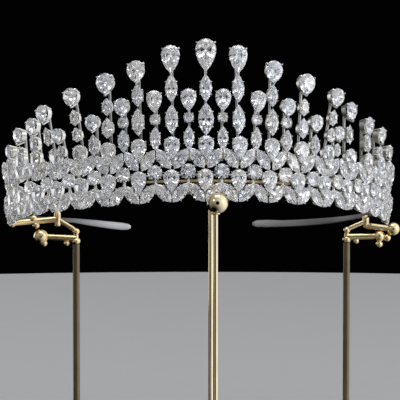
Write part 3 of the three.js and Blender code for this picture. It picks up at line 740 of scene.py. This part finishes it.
# Outline of the foot: arcs round the pads joined by straight arm sides and hub arcs, spread evenly along its
# length, then averaged with a bell curve so that every inner corner is a fillet.
def footOutline():
    ends = np.array([rods["front"]] + [row["post"] for row in bracketSides])
    bearing = np.arctan2(ends[:, 1], ends[:, 0])
    hub, pad, half = base["hub"], base["pad"], base["armWidth"] / 2
    root, neckAngle = math.sqrt(hub ** 2 - half ** 2), math.asin(half / pad)
    padArc = np.linspace(-math.pi + neckAngle, math.pi - neckAngle, base["padSteps"])
    lines = []
    for i in np.argsort(bearing):
        reach = np.linalg.norm(ends[i])
        padLine = np.column_stack([reach + pad * np.cos(padArc), pad * np.sin(padArc)])
        local = np.vstack([[[root, -half]], padLine, [[root, half]]])
        c, s = math.cos(bearing[i]), math.sin(bearing[i])
        lines.append(local @ np.array([[c, s], [-s, c]]))
    path = []
    for line, following in zip(lines, lines[1:] + lines[:1]):
        start, stop = (math.atan2(y, x) for x, y in (line[-1], following[0]))
        stop += 2 * math.pi if stop < start else 0
        arc = np.linspace(start, stop, base["hubSteps"])[1:-1]
        path += [line, hub * np.column_stack([np.cos(arc), np.sin(arc)])]
    path = np.vstack(path + [path[0][:1]])
    length = np.concatenate([[0], np.cumsum(np.linalg.norm(np.diff(path, axis=0), axis=1))])
    even = np.linspace(0, length[-1], base["points"], endpoint=False)
    points = np.column_stack([np.interp(even, length, path[:, k]) for k in (0, 1)])
    offset = np.minimum(even, length[-1] - even)
    bell = np.exp(-0.5 * (offset / base["fillet"]) ** 2)
    spectrum = np.fft.fft(bell / bell.sum())
    return np.column_stack([np.fft.ifft(np.fft.fft(points[:, k]) * spectrum).real for k in (0, 1)])


# A plate: the outline drawn in by an inset at each height, with a quarter-round edge at top and bottom.
def plate(outline):
    run = np.roll(outline, -1, 0) - np.roll(outline, 1, 0)
    normal = np.stack([run[:, 1], -run[:, 0]], -1) / np.linalg.norm(run, axis=1, keepdims=True)
    quarter = np.radians(np.linspace(0, 90, base["edgeSteps"]))
    inset = base["edge"] * (1 - np.sin(quarter))
    rise = base["edge"] * (1 - np.cos(quarter))
    insets = np.concatenate([inset, inset[::-1]])
    heights = np.concatenate([rise, base["thickness"] - rise[::-1]])
    flat = outline[None] - insets[:, None, None] * normal[None]
    points = np.concatenate([flat, np.broadcast_to(heights[:, None, None], flat.shape[:2] + (1,))], -1)
    return points.reshape(-1, 3), tubeFaces(*points.shape[:2])


# A turned rod: a circle whose radius follows a profile (distance, radius) along a straight line.
def turnedRod(start, direction, profile, sides=rods["sides"], sideways=(0, 1, 0)):
    profile = np.asarray(profile, float)
    path = np.asarray(start, float) + profile[:, :1] * np.asarray(direction, float)
    return swept(path, circle(sides), profile[:, 1], sideways)


# Profile of a ball: cosine and sine from the neck's radius, or the near pole, round to the far pole.
def ballProfile(middle, radius, neck=0.0, steps=18):
    nearPole, farPole = ball["poles"]
    first = math.asin(neck / radius) if neck else nearPole
    angle = np.linspace(math.pi - first, farPole, steps)
    return np.column_stack([middle + radius * np.cos(angle), radius * np.sin(angle)])


# Profile of a straight rod whose ends are drawn in by a share of the radius, in two steps.
def plainProfile(length, radius, dome, bendShare=0.3):
    soft, bend = dome * radius, bendShare * dome * radius
    start = [(0, radius - soft), (bend, radius - bend), (soft, radius)]
    return start + [(length - along, size) for along, size in start[::-1]]


def evenProfile(length, radius):  # straight rod with plain ends
    return [(0, radius), (length, radius)]


# Bead: a ball turned about an upright line.
def bead(centre, radius, steps=9, sides=14):
    return turnedRod(centre, (0, 0, -1), ballProfile(0.0, radius, steps=steps), sides)


# Rod that ends in a ball: the straight start and the ball are one profile.
def knobbed(start, end, radius, knob):
    run = end - start
    length = float(np.linalg.norm(run))
    profile = np.vstack([[(0, radius)], ballProfile(length, knob, radius * bracket["neck"])])
    return turnedRod(start, run / length, profile)


# A bent tube's path: straight, a curve between points at equal distances from the corner, straight again.
# The curve is the parabola that leaves both points towards the corner.
def bentPath(start, corner, end, reach, steps=10):
    start, corner, end = (np.asarray(p, float) for p in (start, corner, end))
    into, away = ((p - corner) / np.linalg.norm(p - corner) * reach + corner for p in (start, end))
    t = np.linspace(0, 1, steps)[:, None]
    return np.vstack([start, (1 - t) ** 2 * into + 2 * t * (1 - t) * corner + t ** 2 * away, end])


addPiece("foot", plate(footOutline()), satinGold, ["stand_base"])

# Front fork: the front rod swells by the cosine of an angle into a collar below its ball, and a yoke joins
# it to the rod behind the band.
up = (0, 0, 1)
footTop = base["thickness"]
ballHeight = ball["place"][2] - footTop
collarMiddle = ballHeight - ball["radius"] + collar["inBall"]
swell = np.radians(np.linspace(-90, 90, collar["steps"]))
frontProfile = np.vstack([
    evenProfile(collarMiddle - collar["lead"], rods["radius"]),
    np.column_stack([collarMiddle + collar["tall"] / 2 * np.sin(swell),
                     rods["radius"] + (collar["radius"] - rods["radius"]) * np.cos(swell)]),
    [(ballHeight - ball["socket"], rods["radius"]), (ballHeight, rods["radius"])],
])
yokeRun = np.append(np.subtract(rods["rear"], rods["front"]), 0)
yokeLength = float(np.linalg.norm(yokeRun))
rearProfile = plainProfile(rods["rearTop"] - footTop, rods["radius"], rods["rearDome"])
fork = joined([
    turnedRod((*rods["front"], footTop), up, frontProfile, ball["sides"]),
    bead(ball["place"], ball["radius"], ball["steps"], ball["sides"]),
    turnedRod((*rods["rear"], footTop), up, rearProfile),
    turnedRod((*rods["front"], rods["yoke"]), yokeRun / yokeLength, evenProfile(yokeLength, rods["radius"]),
              sideways=up),
])
addPiece("fork", fork, gold, ["front_fork"])


# Bracket: sleeve, strut, knuckle, stop, peg, bar and studs, all in an upright plane at the post's depth.
def bracketShape(row):
    postX, depth = row["post"]
    stopX, stopLow, stopHigh = row["stop"]

    def at(x, z):
        return np.array([x, depth, z])

    sleeve = plainProfile(bracket["sleeveTop"] - posts["top"], bracket["sleeve"], bracket["sleeveDome"])
    stop = plainProfile(stopHigh - stopLow, bracket["stop"], bracket["stopDome"])
    strut = bentPath(at(postX, bracket["strutFoot"]), at(postX, bracket["elbow"]),
                     at(stopX, row["strutEnd"]), bracket["bend"])
    return joined([
        turnedRod(at(postX, posts["top"]), up, sleeve),
        swept(strut, circle(rods["sides"]), bracket["strut"], (0, 1, 0)),
        bead(at(postX, bracket["knuckleHeight"]), bracket["knuckle"]),
        turnedRod(at(stopX, stopLow), up, stop),
        knobbed(at(stopX, row["pegStart"]), at(*row["tip"]), bracket["peg"], row["tipRadius"]),
        knobbed(at(postX, bracket["bar"]), at(*row["ball"]), bracket["barRadius"], row["ballRadius"]),
        *[bead(at(x, z), radius) for x, z, radius in row["studs"]],
    ])


for row in bracketSides:
    post = turnedRod((*row["post"], footTop), up, evenProfile(posts["top"] - footTop, posts["radius"]))
    # The posts take the darkened gold, a painted shade.
    addPiece("post_" + row["name"], post, paintedShadeGold, [row["name"] + "_post"])
    addPiece("bracket_" + row["name"], bracketShape(row), softGold, [row["name"] + "_bracket"])
print("stand made")

# Floor: a pale disc just below the stand, with a faint grain.
floor = {"radius": 750.0, "height": -0.05, "sides": 96,
         "roughness": 0.7, "grainScale": 40.0, "grainDetail": 4.0,
         "deep": (0.5, 0.495, 0.49, 1), "bright": (0.52, 0.5148, 0.5096, 1)}
floorMade, start, feed = finish("pale_floor", {"Roughness": floor["roughness"]})
grain = start.noise(start.node("ShaderNodeTexCoord", out=3), floor["grainScale"], floor["grainDetail"])
feed("Base Color", start.blend(grain, floor["deep"], floor["bright"]))
disc = lifted(circle(floor["sides"]) * floor["radius"], floor["height"])
floorPiece = meshObject("floor", (disc, [np.arange(floor["sides"])[None]]), floorMade)
floorPiece.visible_glossy = False  # the polished metal mirrors the surroundings below, not the floor

# Lights: place and aim in m, size in m, power in W, colour.
lights = [
    {"name": "key", "place": (-0.8, -0.9, 0.75), "aim": (0, -0.05, 0.11), "size": (0.3, 0.3),
     "power": 0.85, "colour": (1, 0.98, 0.95)},
    {"name": "fill", "place": (1.0, -0.5, 0.5), "aim": (0, -0.05, 0.11), "size": (0.4, 0.4),
     "power": 1.1, "colour": (0.96, 0.98, 1)},
    {"name": "rim", "place": (-0.85, 0.65, 0.25), "aim": (0, 0, 0.11), "size": (0.6, 0.6),
     "power": 1.6, "colour": (1, 0.98, 0.95)},
    {"name": "top", "place": (0, -0.2, 1.0), "aim": (0, -0.05, 0.1), "size": (0.6, 0.3),
     "power": 1.8, "colour": (1, 1, 1)},
]
for row in lights:
    lamp = bpy.data.lights.new(row["name"], "AREA")
    lamp.shape = "RECTANGLE"
    lamp.size, lamp.size_y = row["size"]
    lamp.energy, lamp.color = row["power"], row["colour"]
    holder = bpy.data.objects.new(row["name"], lamp)
    holder.location = row["place"]
    aim = Vector(row["aim"]) - Vector(row["place"])
    holder.rotation_euler = aim.to_track_quat("-Z", "Y").to_euler()
    scene.collection.objects.link(holder)

# Surroundings: a pale tent that reaches further round on the right, dark behind and where it is parted in
# front. Its paleness is a level, plus shares that grow to the right, to both sides, overhead, below and
# towards the opening.
tent = {
    "dark": (0.0006, 0.0006, 0.0007, 1), "pale": (1.2, 1.23, 1.3, 1), "rightward": 0.5, "edge": (0.85, 0.35),
    "opening": (0.0, -1.0, 0.05), "openingFrom": (0.943, 0.927),  # cosines where it is dark and where pale
    "level": 0.2, "right": 0.43, "sides": 0.45, "overhead": 0.3, "below": 0.15, "front": 0.22,
}
world = bpy.data.worlds.new("surroundings")
world.use_nodes = True
tree = world.node_tree
air = Wire(tree, None)
direction = air.node("ShaderNodeTexCoord", out=0)
aside, forward, height = (air.node("ShaderNodeSeparateXYZ", None, {0: direction}, out=k) for k in range(3))
opening = tuple(Vector(tent["opening"]).normalized())
towards = air.node("ShaderNodeVectorMath", {"operation": "DOT_PRODUCT"}, {0: direction, 1: opening}, out=1)
reaching = (forward - tent["rightward"] * aside).softStep(*tent["edge"])
closed = towards.softStep(*tent["openingFrom"])
under = air.maths("MAXIMUM", -1.0 * height, 0.0)
nearby = air.maths("MAXIMUM", towards, 0.0)
nearby = nearby * nearby
paleness = (tent["level"] + tent["right"] * aside + tent["sides"] * aside * aside + tent["overhead"] * height
            + tent["below"] * under + tent["front"] * nearby * nearby)
cover = air.blend(reaching * closed * paleness, tent["dark"], tent["pale"])
tree.links.new(cover.socket, tree.nodes["Background"].inputs["Color"])
scene.world = world

# Camera: turned and raised about the ring's centre in degrees, then moved right, up and back in mm.
view = {"yaw": -1.94, "rise": 3.0, "distance": 800.0, "right": 0.66, "up": 4.7, "lens": 175.4, "sensor": 36.0,
        "clip": (0.01, 50.0)}
yaw, rise = math.radians(view["yaw"]), math.radians(view["rise"])
backward = np.array([math.sin(yaw) * math.cos(rise), -math.cos(yaw) * math.cos(rise), math.sin(rise)])
rightward = np.cross(up, backward)
rightward /= np.linalg.norm(rightward)
upward = np.cross(backward, rightward)
eye = ring["centre"] + view["right"] * rightward + view["up"] * upward + view["distance"] * backward
lens = bpy.data.cameras.new("camera")
lens.lens, lens.sensor_width = view["lens"], view["sensor"]
lens.clip_start, lens.clip_end = view["clip"]
camera = bpy.data.objects.new("camera", lens)
pose = np.eye(4)
pose[:3, :3] = np.column_stack([rightward, upward, backward])
pose[:3, 3] = eye * mm
camera.matrix_world = Matrix(pose.tolist())
scene.collection.objects.link(camera)
scene.camera = camera

bounces = 40  # light is turned round many times inside the points of the stones
scene.cycles.max_bounces = bounces
scene.cycles.transmission_bounces = bounces
scene.cycles.glossy_bounces = bounces
scene.cycles.sample_clamp_indirect = 8.0  # keeps single bright dots out
scene.cycles.use_denoising = True
scene.view_settings.view_transform = "Standard"
print("stage set")
